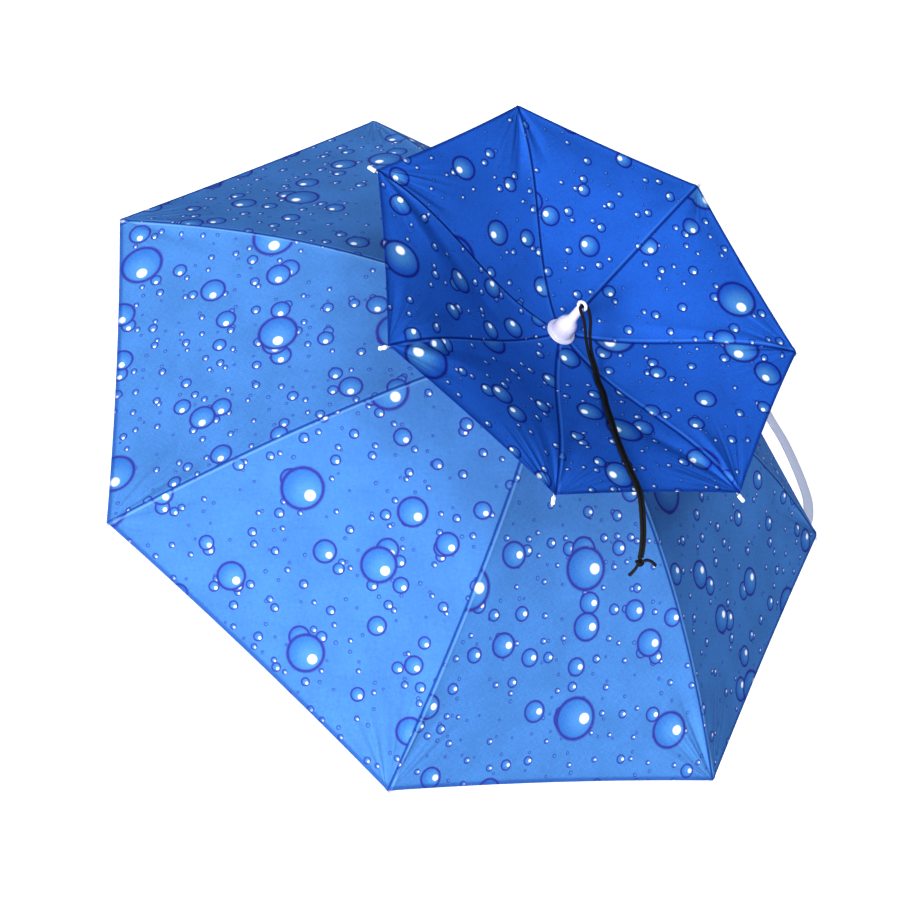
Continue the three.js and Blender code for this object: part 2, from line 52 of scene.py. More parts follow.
# Quads of a grid whose point (row, column) is row * columns + column
def gridFaces(rows, columns, wrapColumns=False):
    row, column = np.meshgrid(
        np.arange(rows - 1), np.arange(columns if wrapColumns else columns - 1), indexing="ij"
    )
    after = (column + 1) % columns
    faces = np.stack(
        [
            row * columns + column, row * columns + after, (row + 1) * columns + after,
            (row + 1) * columns + column
        ],
        -1
    )
    return faces.reshape(-1, 4)


# The two end rings of a grid wrapped in columns, as faces
def endCaps(rows, columns):
    return [np.arange(columns)[::-1], (rows - 1) * columns + np.arange(columns)]


# A mesh from points and faces, with its UV in the order of the face corners
def makeObject(name, points, faces, caps=(), uv=None, materials=(), smooth=True):
    mesh = bpy.data.meshes.new(name)
    mesh.from_pydata(points.reshape(-1, 3).tolist(), [], faces.tolist() + [list(map(int, cap)) for cap in caps])
    if uv is not None:
        layer = mesh.uv_layers.new(name="place")
        loops = np.zeros((len(mesh.loops), 2), np.float32)
        loops[: faces.size] = uv.reshape(-1, 2)
        layer.data.foreach_set("uv", loops.ravel())
    for material in materials:
        mesh.materials.append(material)
    mesh.polygons.foreach_set("use_smooth", np.full(len(mesh.polygons), smooth))
    made = bpy.data.objects.new(name, mesh)
    bpy.context.collection.objects.link(made)
    return made


# A closed outline (beside, above) carried along a path. UV is metres along the path and share round the outline.
def sweptObject(name, path, outline, materials, scale=1.0, beside=None):
    heading = unit(np.gradient(path, axis=0))
    ring = np.allclose(path[0], path[-1])
    if ring:
        heading[[0, -1]] = unit(path[1] - path[-2])
    if beside is None:
        beside = unit(np.cross(heading, [0, 0, 1]))
    above = np.cross(beside, heading)
    scale = np.broadcast_to(scale, len(path))[:, None, None]
    points = path[:, None] + scale * (
        outline[None, :, :1] * beside[:, None] + outline[None, :, 1:] * above[:, None]
    )
    rows, columns = points.shape[:2]
    faces = gridFaces(rows, columns, True)[:, ::-1]
    if ring:
        points, faces = points[:-1], faces % ((rows - 1) * columns)
    along = np.concatenate([[0], np.cumsum(np.linalg.norm(np.diff(path, axis=0), axis=1))])
    row, column = np.meshgrid(np.arange(rows - 1), np.arange(columns), indexing="ij")
    share = np.stack([column, column + 1, column + 1, column], -1) / columns
    length = along[np.stack([row, row, row + 1, row + 1], -1)]
    caps = [] if ring else [cap[::-1] for cap in endCaps(rows, columns)]
    return makeObject(name, points, faces, caps, np.stack([length, share], -1)[:, :, ::-1], materials)


# A profile (radius, height) turned about +Z: its radius times cosine and sine at equal angles
def turnedPoints(profile, sides):
    angle = np.arange(sides) * 2 * math.pi / sides
    radius = np.maximum(profile[:, 0], 1e-5)[:, None]
    return np.stack(
        [radius * np.cos(angle), radius * np.sin(angle), np.broadcast_to(profile[:, 1:], (len(profile), sides))],
        -1
    )


# Points at equal angles: the radius times cosine and sine
def circleOutline(radius, sides):
    angle = np.arange(sides) * 2 * math.pi / sides
    return radius * np.stack([np.cos(angle), np.sin(angle)], -1)


# A centripetal Catmull-Rom line through the points, with evenly spaced steps
def smoothLine(points, steps):
    points = np.asarray(points, float)
    ends = np.concatenate([[2 * points[0] - points[1]], points, [2 * points[-1] - points[-2]]])
    gaps = np.linalg.norm(np.diff(ends, axis=0), axis=1)[:, None] ** 0.5
    before, here, after = gaps[:-2], gaps[1:-1], gaps[2:]
    p0, p1, p2, p3 = ends[:-3], ends[1:-2], ends[2:-1], ends[3:]
    leave = ((p1 - p0) / before - (p2 - p0) / (before + here) + (p2 - p1) / here) * here
    arrive = ((p2 - p1) / here - (p3 - p1) / (here + after) + (p3 - p2) / after) * here
    t = np.linspace(0, 1, 40, endpoint=False)[:, None, None]
    line = (
        (2 * t**3 - 3 * t**2 + 1) * p1 + (t**3 - 2 * t**2 + t) * leave
        + (3 * t**2 - 2 * t**3) * p2 + (t**3 - t**2) * arrive
    )
    line = np.concatenate([line.transpose(1, 0, 2).reshape(-1, 3), points[-1:]])
    along = np.concatenate([[0], np.cumsum(np.linalg.norm(np.diff(line, axis=0), axis=1))])
    wanted = np.linspace(0, along[-1], steps + 1)
    return np.stack([np.interp(wanted, along, line[:, k]) for k in range(3)], -1)


# The sum of the lengths of the path's steps
def pathLength(path):
    return float(np.linalg.norm(np.diff(path, axis=0), axis=1).sum())


# Materials

# Adds a shader node. An input that is a socket is linked, and any other is set.
def node(tree, kind, inputs=None, **settings):
    made = tree.nodes.new("ShaderNode" + kind)
    for key, value in settings.items():
        setattr(made, key, value)
    for socket, value in (inputs or {}).items():
        if isinstance(value, bpy.types.NodeSocket):
            tree.links.new(value, made.inputs[socket])
        else:
            made.inputs[socket].default_value = value
    return made


# A number worked out by a Math node
def calc(tree, operation, a, b=0.0, c=0.0):
    return node(tree, "Math", {0: a, 1: b, 2: c}, operation=operation).outputs[0]


# A vector worked out the same way
def vectorCalc(tree, operation, a, b=(0, 0, 0), c=(0, 0, 0), output=0):
    return node(tree, "VectorMath", {0: a, 1: b, 2: c}, operation=operation).outputs[output]


# Goes smoothly from one value to another while x goes from start to end
def ramp(tree, x, start, end, low=0.0, high=1.0):
    inputs = {0: x, 1: start, 2: end, 3: low, 4: high}
    return node(tree, "MapRange", inputs, interpolation_type="SMOOTHSTEP").outputs[0]


# Colour a going over to colour b by a share
def blendColor(tree, share, a, b, mode="MIX"):
    return node(tree, "Mix", {0: share, 6: a, 7: b}, data_type="RGBA", blend_type=mode).outputs[2]


# A colour written as sRGB numbers from 0 to 255
def paint(red, green, blue):
    shares = np.array([red, green, blue]) / 255
    return (*np.where(shares <= 0.04045, shares / 12.92, ((shares + 0.055) / 1.055) ** 2.4).tolist(), 1)


# A new material with its node tree and its shader
def newMaterial(name):
    material = bpy.data.materials.new(name)
    material.use_nodes = True
    return material, material.node_tree, material.node_tree.nodes["Principled BSDF"]


# Bump with a height times a distance in metres
def bumpFrom(tree, shader, height, distance):
    bump = node(tree, "Bump", {"Height": height, "Distance": distance, "Strength": 1.0})
    tree.links.new(bump.outputs[0], shader.inputs["Normal"])


# Camera, at the photograph's angle

view = {"at": (0.94471, -1.57556, 2.02259), "turned": (35.0855, -25.1363, 62.4177), "lens": 117.53}
cameraData = bpy.data.cameras.new("camera")
cameraData.lens = view["lens"]
cameraData.sensor_width = 36
cameraData.clip_start, cameraData.clip_end = 0.05, 60
camera = bpy.data.objects.new("camera", cameraData)
camera.location = view["at"]
camera.rotation_euler = [math.radians(angle) for angle in view["turned"]]
bpy.context.collection.objects.link(camera)
bpy.context.scene.camera = camera

# Cord: two strands from the cap's eye to a knot with two cut ends

cord = {
    "diameter": 2.8 * mm, "eye": (0, 0, 0.24865), "holeBearing": -70, "knot": (0.2345, -0.0545, 0.223),
    "knotRadius": 4 * mm, "gap": 0.3 * mm, "steps": 240, "sides": 16, "knotCord": 1.25 * mm, "knotSides": 14,
    "knotScale": 0.9 * mm
}
cordRoute = np.array([
    # middle line x, y, z, and half the distance between the strands' middles
    (0.0032, 0.0003, 0.2485, 0.0044),
    (0.008, 0.0011, 0.2463, 0.0043),
    (0.014, 0.0023, 0.2415, 0.0037),
    (0.0221, 0.0038, 0.232, 0.0027),
    (0.033, 0.0059, 0.2225, 0.0019),
    (0.0459, 0.0086, 0.2152, 0.00165),
    (0.057, 0.005, 0.2154, 0.00165),
    (0.0723, -0.0009, 0.2209, 0.00165),
    (0.087, -0.0102, 0.2278, 0.00165),
    (0.1024, -0.0186, 0.2346, 0.00165),
    (0.1272, -0.0308, 0.2439, 0.00165),
    (0.1479, -0.0388, 0.2502, 0.00165),
    (0.164, -0.0426, 0.2533, 0.00165),
    (0.1781, -0.045, 0.2551, 0.00165),
    (0.188, -0.0476, 0.256, 0.00165),
    (0.1975, -0.05, 0.2541, 0.00165),
    (0.208, -0.0518, 0.249, 0.00165),
    (0.219, -0.0534, 0.242, 0.0016),
    (0.2274, -0.0542, 0.2336, 0.00155),
])


# Braided cotton: two families of slanting threads crossing round the cord
def braidMaterial(name, color, pitch):
    material, tree, shader = newMaterial(name)
    place = node(tree, "UVMap", uv_map="place").outputs[0]
    axes = node(tree, "SeparateXYZ", {0: place})
    turns = calc(tree, "MULTIPLY", axes.outputs[1], 6 * 2 * math.pi)
    runs = calc(tree, "MULTIPLY", axes.outputs[0], 2 * math.pi / pitch)
    left = calc(tree, "SINE", calc(tree, "ADD", turns, runs))
    right = calc(tree, "SINE", calc(tree, "SUBTRACT", turns, runs))
    weave = calc(tree, "MAXIMUM", left, right)
    fuzz = node(
        tree, "TexNoise", {"Vector": node(tree, "TexCoord").outputs["Object"], "Scale": 900.0, "Detail": 3.0}
    )
    height = calc(tree, "MULTIPLY_ADD", fuzz.outputs[0], 0.5, weave)
    # The colour darkens towards the low parts of the weave: painted shade between the threads.
    shade = ramp(tree, weave, -0.6, 1.0)
    deep = [share * 0.35 for share in color[:3]] + [1]
    tree.links.new(blendColor(tree, shade, deep, color), shader.inputs["Base Color"])
    shader.inputs["Roughness"].default_value = 0.8
    shader.inputs["Specular IOR Level"].default_value = 0.15
    bumpFrom(tree, shader, height, 0.0003)
    return material


blackBraid = braidMaterial("black_braid", (0.004, 0.0037, 0.0045, 1), 3.2 * mm)


# One strand: out of the eye along its hole, then beside the middle line. Side is 1 or -1.
def strandPath(side):
    bearing = math.radians(cord["holeBearing"])
    hole = np.array([math.cos(bearing), math.sin(bearing), 0])
    knot = np.array(cord["knot"])
    middles, apart = cordRoute[:, :3], np.append(cordRoute[:, 3], cordRoute[-1, 3])
    arrival = unit(knot - middles[-1])
    middles = np.concatenate([middles, [knot - arrival * (cord["knotRadius"] + cord["gap"])]])
    heading = np.concatenate([[middles[1] - middles[0]], middles[2:] - middles[:-2], [middles[-1] - middles[-2]]])
    beside = unit(np.stack([heading[:, 1], -heading[:, 0], np.zeros(len(heading))], -1))
    out = np.array([[0.5 * cord["gap"]], [cord["diameter"]]])
    start = np.array(cord["eye"]) + side * out * hole
    return np.concatenate([start, middles + side * apart[:, None] * beside])


# The knot is a trefoil, point(t) = ((2 + cos 3t) cos 2t, (2 + cos 3t) sin 2t, sin 3t), drawn tight
t = np.linspace(0, 2 * math.pi, 97)
wide = 2 + np.cos(3 * t)
trefoil = np.stack([wide * np.cos(2 * t), 1.15 * wide * np.sin(2 * t), 1.5 * np.sin(3 * t)], -1)
knotPath = np.array(cord["knot"]) + cord["knotScale"] * trefoil
knotOutline = circleOutline(cord["knotCord"], cord["knotSides"])
knotPiece = sweptObject(
    "knotLump", knotPath, knotOutline, [blackBraid],
    beside=unit(np.cross(unit(np.gradient(knotPath, axis=0)), unit(trefoil + [0, 0, 0.01])))
)
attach(knotPiece, "root")
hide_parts("cord_knot")
tailTurns = {
    "hangingTail": [(0, 0, -2), (1.2, 0.2, -9), (0.9, 0.9, -20)],
    "curlingTail": [(0.5, 1.5, 1), (1, 4.1, 4.1), (3.5, 7.6, 4.9), (7.1, 11, 3.4)],
}
tailSize = {"radius": 1.45 * mm, "sides": 14, "steps": 40, "fray": 0.16}
for name, turns in tailTurns.items():
    path = smoothLine(np.array(cord["knot"]) + np.array(turns) * mm, tailSize["steps"])
    frayed = 1 + tailSize["fray"] * np.linspace(0, 1, len(path)) ** 6
    tail = sweptObject(
        name, path, circleOutline(tailSize["radius"], tailSize["sides"]), [blackBraid], scale=frayed,
        beside=np.tile([[0.9, -0.43, 0.0]], (len(path), 1))
    )
    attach(tail, "root")
    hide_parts("cord_knot")
for number, side in ((1, 1), (2, -1)):
    path = smoothLine(strandPath(side), cord["steps"])
    outline = circleOutline(cord["diameter"] / 2, cord["sides"])
    strand = sweptObject(f"strand{number}", path, outline, [blackBraid])
    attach(strand, "root")
    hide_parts(f"cord_strand_{number}")
    print("strand", number, "length", round(pathLength(path), 4))
print("cords made")

# Canopies. The line of a rib in the (radius, height) plane is the CAD's, in metres.

lowerRise, lowerReach, lowerCorner = 0.1886, 0.381, 0.00885
upperReach, bowlFloor, bowlDepth, bowlStart = 0.2135, 0.20675, 0.0467, 0.0153
postHole = 6.6 * mm
holeRadius = postHole / math.cos(halfGore)


# Crown: the rise, times 1 less the 1.8th power of the share of the reach, above the corner
def lowerHeight(radius):
    return lowerCorner + lowerRise * (1 - (np.maximum(radius, 0) / lowerReach) ** 1.8)


# Bowl: the depth times the squared sine of the run from the flat floor towards the hem
def upperHeight(radius):
    run = np.clip((radius - bowlStart) / ((upperReach - bowlStart) * 0.94), 0, 1)
    return bowlFloor + bowlDepth * np.sin(math.pi / 2 * run) ** 2


# Folds fan out from the corners where the cloth is tied to a tip. A row is one fold: its rib, lean from the
# rib in degrees (anticlockwise is positive), length and depth as shares of the reach, and spread in degrees.
lowerFolds = [
    (0, 11, 0.32, -0.007, 5), (0, 24, 0.24, 0.005, 6), (0, -12, 0.28, -0.006, 5), (1, 12, 0.24, -0.006, 5),
    (1, -12, 0.34, -0.007, 5), (1, -25, 0.22, 0.004, 6), (2, -12, 0.26, -0.006, 5), (3, -12, 0.24, -0.006, 6),
    (4, 12, 0.22, -0.005, 6), (5, -12, 0.24, -0.005, 5), (6, 12, 0.28, -0.006, 5),
]
upperFolds = [
    (0, -15, 0.5, 0.016, 7), (0, 10, 0.85, -0.014, 4.5), (0, 24, 0.5, 0.01, 7), (1, -12, 0.5, -0.016, 5),
    (1, 11, 0.65, -0.014, 4.5), (2, -15, 0.7, -0.016, 6), (2, 14, 0.4, 0.014, 5), (3, 7, 1.0, 0.008, 3.5),
    (3, -14, 0.28, 0.014, 6), (4, -14, 0.34, 0.012, 6), (4, 15, 0.3, -0.01, 6), (5, 12, 0.42, -0.016, 6),
    (5, -14, 0.3, -0.01, 6), (6, 12, 0.85, -0.02, 5.5), (6, -12, 0.4, -0.01, 5), (6, 25, 0.5, 0.008, 8),
]
# Gores named in flipped are cut with the print turned round. flat is the side of the square they are cut from.
lower = {
    "reach": lowerReach, "twist": 0.0, "height": lowerHeight, "slack": 0.012, "hemDip": 0.008,
    "folds": lowerFolds, "flipped": [], "thickness": 0.6 * mm, "flat": 0.86
}
upper = {
    "reach": upperReach, "twist": math.radians(2), "height": upperHeight, "slack": 0.02, "hemDip": 0.01,
    "folds": upperFolds, "flipped": [0, 1, 2, 3, 6], "thickness": 0.5 * mm, "flat": 0.47
}


# Seven equal steps round, from rib 1 at the front
def ribBearing(rib, canopy):
    return firstRib + canopy["twist"] + rib * 2 * halfGore


# Outward along the rib's line and away below it, as (radius, height) pairs
def ribFrame(canopy, radius):
    step = 1e-5
    rise = canopy["height"](radius + step) - canopy["height"](radius - step)
    along = unit(np.stack([np.full_like(radius, 2 * step), rise], -1))
    return along, np.stack([along[..., 1], -along[..., 0]], -1)


# A fold rises along its length as a half sine and fades to its sides as an exponential
def foldLift(canopy, x, y):
    lift = np.zeros_like(x)
    for rib, lean, length, depth, spread in canopy["folds"]:
        bearing = ribBearing(rib, canopy)
        back = canopy["reach"] - x * math.cos(bearing) - y * math.sin(bearing)
        aside = y * math.cos(bearing) - x * math.sin(bearing)
        run = np.clip(np.hypot(back, aside) / (length * canopy["reach"]), 0, 1)
        off = (np.degrees(np.arctan2(aside, back)) - lean) / spread
        lift += depth * canopy["reach"] * np.sin(math.pi * run**0.85) * np.exp(-(np.abs(off) ** 1.35))
    return lift


# The cloth's top face: turn counts gores from rib 1, radius is where a row meets the ribs
def clothPoint(canopy, turn, radius, extraLift=0.0):
    gore = np.floor(turn)
    side = 2 * (turn - gore) - 1
    sink = 1 - side * side
    share = (radius - holeRadius) / (canopy["reach"] - holeRadius)
    along, below = ribFrame(canopy, radius)
    middle = np.stack([radius * math.cos(halfGore), canopy["height"](radius)], -1)
    middle = middle + below * (canopy["slack"] * radius * sink * share * (1 - share**6))[..., None]
    middle = middle - along * (canopy["hemDip"] * canopy["reach"] * sink * share**4)[..., None]
    across = radius * math.sin(halfGore) * side
    bearing = ribBearing(gore, canopy) + halfGore
    x = middle[..., 0] * np.cos(bearing) - across * np.sin(bearing)
    y = middle[..., 0] * np.sin(bearing) + across * np.cos(bearing)
    lift = foldLift(canopy, x, y) + extraLift
    out = -below[..., 0] * lift
    return np.stack(
        [x + out * np.cos(bearing), y + out * np.sin(bearing), middle[..., 1] - below[..., 1] * lift], -1
    )


# Small relief of the sewn seams and hem. seam is metres from the nearest rib line, positive on its
# anticlockwise side, and hem is metres from the edge.
def sewnRelief(seam, hem):
    groove = -0.6 * np.exp(-((seam / 0.0012) ** 2))
    allowance = 0.5 * np.exp(-(((seam - 0.0032) / 0.002) ** 2))
    fold = 0.5 / (1 + np.exp((hem - 0.006) / 0.0006))
    stitch = -0.25 * np.exp(-(((hem - 0.005) / 0.0006) ** 2))
    return mm * (groove + allowance + fold + stitch)


clothGrid = {"rows": 104, "columns": 52, "uvStep": 1.7}
seamColumns = np.array([0, 0.0008, 0.0018, 0.003, 0.0045, 0.0065, 0.0095, 0.014])
hemRows = np.array([0, 0.0006, 0.0014, 0.0024, 0.0036, 0.0046, 0.0054, 0.0064, 0.008, 0.011])


# The four corners of each cell, in the order of the faces
def cellCorners(grid):
    return np.stack([grid[:-1, :, :-1], grid[:-1, :, 1:], grid[1:, :, 1:], grid[1:, :, :-1]], -2)[:, :, :, ::-1]


# A fine grid of the cloth, closer near seams and hem. UV is metres on the flat cut of each gore.
def makeCanopy(name, canopy, materials):
    chord = 2 * canopy["reach"] * math.sin(halfGore)
    inner = np.linspace(seamColumns[-1], chord / 2, clothGrid["columns"] // 2 - len(seamColumns) + 2)[1:]
    half = np.concatenate([seamColumns, inner]) / chord
    places = np.concatenate([half, 1 - half[::-1][1:]])
    columns = len(places) - 1
    openTo = canopy["reach"] - hemRows[-1]
    spread = np.linspace(0, 1, clothGrid["rows"] - len(hemRows) + 1)[:-1]
    radii = np.concatenate([holeRadius + (openTo - holeRadius) * spread, canopy["reach"] - hemRows[::-1]])
    gore = np.arange(ribCount)[None, :, None]
    turn = np.broadcast_to(
        gore + np.minimum(places, 1 - 1e-9)[None, None, :], (len(radii), ribCount, columns + 1)
    )
    radius = np.broadcast_to(radii[:, None, None], turn.shape)
    place = turn - gore
    span = 2 * radius * math.sin(halfGore)
    seam = np.where(place < 0.5, place, place - 1) * span
    hem = canopy["reach"] - radius
    points = clothPoint(canopy, turn, radius, sewnRelief(seam, hem))
    flatAlong = np.concatenate(
        [[0], np.cumsum(np.linalg.norm(np.diff(points[:, 0, columns // 2], axis=0), axis=1))]
    )
    flat = np.stack([(place - 0.5) * span, np.broadcast_to(flatAlong[:, None, None] + radii[0], turn.shape)], -1)
    turned = np.isin(np.arange(ribCount), canopy["flipped"])[None, :, None, None]
    flat = np.where(turned, -flat, flat) + clothGrid["uvStep"] * np.stack(
        np.broadcast_arrays(gore + 1, 0.37 * gore + canopy["reach"] * 3), -1
    )
    wrapped = points[:, :, :-1].reshape(len(radii), -1, 3)
    faces = gridFaces(len(radii), ribCount * columns, True)[:, ::-1]
    made = makeObject(name, wrapped, faces, uv=cellCorners(flat), materials=materials)
    toLeft, toRight = (cellCorners(np.stack([(place - side) * span, hem], -1)) for side in (0, 1))
    onLeft = cellCorners(place[..., None]).mean(-2, keepdims=True) < 0.5
    edgeLayer = made.data.uv_layers.new(name="edge")
    edgeLayer.data.foreach_set("uv", np.where(onLeft, toLeft, toRight).astype(np.float32).ravel())
    thick = made.modifiers.new("thickness", "SOLIDIFY")
    thick.thickness = canopy["thickness"]
    thick.offset = -1
    thick.material_offset = 1
    thick.material_offset_rim = 0
    area = float(
        np.linalg.norm(
            np.cross(points[1:, :, 1:] - points[:-1, :, :-1], points[1:, :, :-1] - points[:-1, :, 1:]), axis=-1
        ).sum() / 2
    )
    print(name, "area", round(area, 4), "points", wrapped.shape[0] * wrapped.shape[1])
    return made, area


# Water-drop print. Each layer is a jittered grid of cells with at most one drop: cell size, smallest and
# largest radius, share of cells that hold a drop, and how dark its ring is. Later layers lie over earlier ones.
dropLayers = [
    {"cell": 17, "small": 1.3, "large": 2.1, "share": 0.5, "ring": 0.6, "light": 0.0, "jitter": 0.85},
    {"cell": 22, "small": 2.3, "large": 3.4, "share": 0.6, "ring": 0.75, "light": 0.5, "jitter": 0.8},
    {"cell": 31, "small": 3.8, "large": 5.8, "share": 0.62, "ring": 0.85, "light": 0.75, "jitter": 0.75},
    {"cell": 47, "small": 6.4, "large": 10.5, "share": 0.58, "ring": 0.9, "light": 0.95, "jitter": 0.62},
    {"cell": 68, "small": 10.5, "large": 14.5, "share": 0.52, "ring": 0.92, "light": 1.0, "jitter": 0.55},
    {"cell": 118, "small": 15.0, "large": 21.5, "share": 0.6, "ring": 0.92, "light": 1.0, "jitter": 0.5},
]
dropLight = {"bearing": 0, "out": 0.46, "radius": 0.22, "least": 0.45, "glow": 0.3}
dropRing = {"share": 0.15, "least": 1.2}
inkDepth = 0.66
clothLook = {"roughness": 0.85, "specular": 0.01, "threadHeight": 0.05 * mm, "threadShade": 0.32}
# In each set of inks, the seam colour is the dark seam line, partly painted shade in its groove and partly the
# break in the print, and the colour after it is a painted highlight beside the seam.
wideLitInks = {
    "ground": (72, 130, 207), "middle": (80, 145, 220), "side": (53, 113, 201), "ring": (52, 46, 150),
    "seam": (20, 56, 150), "seamHighlight": (128, 180, 236)
}
# The bowl's inks are the same cloth as the wide canopy's, printed deeper here as painted shade, while the wide
# canopy's are paler as painted light.
bowlShadedInks = {
    "ground": (34, 93, 204), "middle": (74, 142, 216), "side": (28, 84, 194), "ring": (24, 28, 128),
    "seam": (10, 34, 122), "seamHighlight": (66, 128, 226)
}
insideInks = {
    "ground": (70, 124, 206), "middle": (84, 142, 214), "side": (62, 114, 198), "ring": (54, 58, 158),
    "seam": (30, 60, 150), "seamHighlight": (80, 134, 212)
}


# A printed colour, as deep as it looks in the studio light
def ink(color):
    return [share * inkDepth for share in paint(*color)[:3]] + [1]


# Voronoi points are the drops' middles. Distance over radius gives the body, the ring and the light spots.
def dropPrint(tree, place, ground, inks):
    color = ground
    lean = np.array([math.cos(dropLight["bearing"]), math.sin(dropLight["bearing"]), 0])
    for number, layer in enumerate(dropLayers):
        cell = layer["cell"] * mm
        spot = vectorCalc(tree, "MULTIPLY_ADD", place, (1 / cell, 1 / cell, 0), (number * 7.3, number * 3.1, 0))
        dots = node(
            tree, "TexVoronoi", {"Vector": spot, "Scale": 1.0, "Randomness": layer["jitter"]},
            voronoi_dimensions="2D"
        )
        luck = node(tree, "SeparateColor", {0: dots.outputs["Color"]})
        size = calc(tree, "POWER", luck.outputs[0], 1.4)
        radius = calc(
            tree, "MULTIPLY_ADD", size, (layer["large"] - layer["small"]) * mm / cell,
            layer["small"] * mm / cell
        )
        held = calc(tree, "LESS_THAN", luck.outputs[1], layer["share"])
        reach = calc(tree, "DIVIDE", dots.outputs["Distance"], radius)
        body = calc(tree, "MULTIPLY", ramp(tree, reach, 1.07, 0.93), held)
        away = vectorCalc(tree, "SUBTRACT", spot, dots.outputs["Position"])
        aim = node(
            tree, "VectorMath", {0: lean * dropLight["out"], "Scale": radius}, operation="SCALE"
        ).outputs[0]
        fromLight = vectorCalc(tree, "DISTANCE", away, aim, output="Value")
        fromLight = calc(
            tree, "DIVIDE", fromLight,
            calc(tree, "MULTIPLY_ADD", radius, dropLight["radius"], dropLight["least"] * mm / cell)
        )
        light = calc(tree, "MULTIPLY", ramp(tree, fromLight, 1.2, 0.6), layer["light"])
        glowAt = node(
            tree, "VectorMath", {0: lean * dropLight["glow"], "Scale": radius}, operation="SCALE"
        ).outputs[0]
        fromGlow = calc(tree, "DIVIDE", vectorCalc(tree, "DISTANCE", away, glowAt, output="Value"), radius)
        inside = blendColor(tree, ramp(tree, fromGlow, 0.1, 1.15), ink(inks["middle"]), ink(inks["side"]))
        ringWidth = calc(
            tree, "ADD", calc(tree, "DIVIDE", dropRing["least"] * mm / cell, radius), dropRing["share"]
        )
        fromRim = calc(tree, "DIVIDE", calc(tree, "SUBTRACT", 1.0, reach), ringWidth)
        ring = calc(tree, "MULTIPLY", ramp(tree, fromRim, 1.0, 0.45), layer["ring"])
        drop = blendColor(tree, ring, inside, ink(inks["ring"]))
        drop = blendColor(tree, light, drop, paint(250, 248, 255))
        color = blendColor(tree, body, color, drop)
    return color


# Fine creases that fan out from the corners, too narrow for the mesh. Height in metres.
def cornerCreases(tree, place, edge):
    aside, back = calc(tree, "ABSOLUTE", edge.outputs[0]), edge.outputs[1]
    away = calc(
        tree, "POWER",
        calc(tree, "ADD", calc(tree, "MULTIPLY", aside, aside), calc(tree, "MULTIPLY", back, back)), 0.5
    )
    turn = calc(tree, "ARCTAN2", aside, calc(tree, "ADD", back, 0.001))
    gore = calc(
        tree, "ROUND",
        calc(tree, "DIVIDE", node(tree, "SeparateXYZ", {0: place}).outputs[0], clothGrid["uvStep"])
    )
    corner = calc(tree, "MULTIPLY_ADD", gore, 3.7, calc(tree, "SIGN", edge.outputs[0]))
    spot = node(
        tree, "CombineXYZ",
        {0: calc(tree, "MULTIPLY", turn, 5.0), 1: corner, 2: calc(tree, "MULTIPLY", away, 9.0)}
    )
    luck = node(tree, "TexWhiteNoise", {"W": corner}, noise_dimensions="1D").outputs[0]
    fan = node(
        tree, "TexNoise", {"Vector": spot.outputs[0], "Scale": 1.0, "Detail": 1.0, "Roughness": 0.4}
    ).outputs[0]
    fade = calc(
        tree, "MULTIPLY", ramp(tree, away, 0.08, 0.01),
        calc(tree, "MULTIPLY", away, ramp(tree, luck, 0.0, 1.0, 0.03, 0.15))
    )
    return calc(tree, "MULTIPLY", fan, fade)


# Thin woven polyester with the print; the inside shows it paler
def clothMaterial(name, inks):
    material, tree, shader = newMaterial(name)
    place = node(tree, "UVMap", uv_map="place").outputs[0]
    edge = node(tree, "SeparateXYZ", {0: node(tree, "UVMap", uv_map="edge").outputs[0]})
    cloudy = node(tree, "TexNoise", {"Vector": place, "Scale": 22.0, "Detail": 4.0, "Roughness": 0.6})
    ground = inks["ground"]
    base = blendColor(
        tree, ramp(tree, cloudy.outputs[0], 0.3, 0.7), ink([1.02 * c for c in ground]),
        ink([0.95 * c for c in ground])
    )
    color = dropPrint(tree, place, base, inks)
    threadRun = node(
        tree, "TexNoise",
        {"Vector": vectorCalc(tree, "MULTIPLY", place, (2200, 260, 0)), "Scale": 1.0, "Detail": 2.0}
    )
    threadAcross = node(
        tree, "TexNoise",
        {"Vector": vectorCalc(tree, "MULTIPLY", place, (260, 2200, 0)), "Scale": 1.0, "Detail": 2.0}
    )
    threads = calc(tree, "ADD", threadRun.outputs[0], threadAcross.outputs[0])
    weave = ramp(tree, threads, 0.72, 1.28, 0.22, 0.78)
    color = blendColor(
        tree, clothLook["threadShade"], color,
        node(tree, "CombineColor", {0: weave, 1: weave, 2: weave}).outputs[0], "SOFT_LIGHT"
    )
    # Painted shade and highlight at the seams: the dark line along each seam is partly painted shade in its
    # groove and partly the break in the print, and the lighter line beside it is a painted highlight on the
    # pressed seam allowance. The cloth is also darker along the hem.
    seam = calc(tree, "ABSOLUTE", edge.outputs[0])
    seamShadowLine = ramp(tree, seam, 0.0018, 0.0006)
    beside = calc(tree, "ABSOLUTE", calc(tree, "SUBTRACT", edge.outputs[0], 0.0029))
    color = blendColor(
        tree, calc(tree, "MULTIPLY", ramp(tree, beside, 0.0014, 0.0003), 0.42), color, ink(inks["seamHighlight"])
    )
    hemLine = ramp(tree, edge.outputs[1], 0.0042, 0.0016)
    dark = calc(tree, "MAXIMUM", calc(tree, "MULTIPLY", seamShadowLine, 0.85), calc(tree, "MULTIPLY", hemLine, 0.6))
    color = blendColor(tree, dark, color, ink(inks["seam"]))
    tree.links.new(color, shader.inputs["Base Color"])
    shader.inputs["Roughness"].default_value = clothLook["roughness"]
    shader.inputs["Specular IOR Level"].default_value = clothLook["specular"]
    bumpFrom(
        tree, shader,
        calc(tree, "MULTIPLY_ADD", threads, clothLook["threadHeight"], cornerCreases(tree, place, edge)), 1.0
    )
    return material


